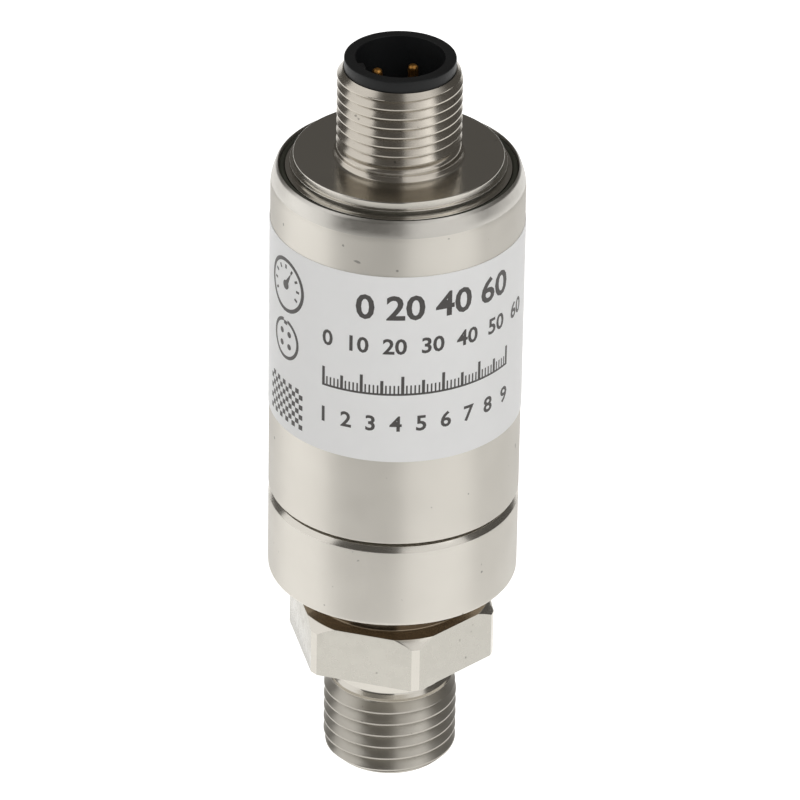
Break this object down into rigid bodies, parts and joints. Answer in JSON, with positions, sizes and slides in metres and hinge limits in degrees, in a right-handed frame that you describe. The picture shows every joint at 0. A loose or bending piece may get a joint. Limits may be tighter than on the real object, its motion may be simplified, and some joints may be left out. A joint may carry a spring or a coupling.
{
  "type": "pressure transmitter",
  "caption": "Compact stainless pressure transmitter: round housing with a wrap label, hexagon and G1/4 port below, keyed M12 plug connector above.",
  "frame": {"origin": "centre of the flat tip of the process port, at the bottom of the part", "axes": "+Z along the axis from the process port to the connector; the middle of the label faces -Y; +X is to the right of the label's reader"},
  "size_m": [0.0246, 0.0245, 0.0773],
  "materials": {
    "port_steel": "fine-turned stainless steel 1.4404",
    "housing_steel": "satin stainless steel, bead-blasted rolled rim",
    "connector_steel": "bright-turned stainless steel",
    "capsule_steel": "smooth stainless steel 1.4435",
    "seal_rubber": "matt fluoro rubber",
    "carrier_plastic": "moulded glass-filled polyamide",
    "contact_gold": "gold-plated copper alloy",
    "membrane_film": "expanded PTFE",
    "filler_ceramic": "sintered ceramic",
    "seal_glass": "compression-seal glass",
    "silicon": "polished silicon",
    "board_laminate": "glass-epoxy laminate with solder mask",
    "chip_plastic": "moulded epoxy",
    "sleeve_plastic": "natural polyamide",
    "label_film": "white polyester film with dark grey print"
  },
  "bodies": {
    "root": {"port_body": "port_steel", "housing_tube": "housing_steel", "connector_shell": "connector_steel", "rim_seal": "seal_rubber", "contact_carrier": "carrier_plastic", "carrier_o_ring": "seal_rubber", "contact_pin_1": "contact_gold", "contact_pin_2": "contact_gold", "contact_pin_3": "contact_gold", "contact_pin_4": "contact_gold", "vent_membrane": "membrane_film", "capsule_body": "capsule_steel", "isolating_diaphragm": "capsule_steel", "filler_insert": "filler_ceramic", "die_pedestal": "seal_glass", "sensing_die": "silicon", "fill_ball": "capsule_steel", "vent_tube": "capsule_steel", "header_pins": "contact_gold", "glass_seals": "seal_glass", "sensor_o_ring": "seal_rubber", "retaining_ring": "capsule_steel", "compensation_board": "board_laminate", "connector_board": "board_laminate", "main_board": "board_laminate", "signal_processor": "chip_plastic", "board_capacitors": "filler_ceramic", "suppressor_diodes": "chip_plastic", "insulating_sleeve": "sleeve_plastic", "label": "label_film"}
  },
  "joints": []
}
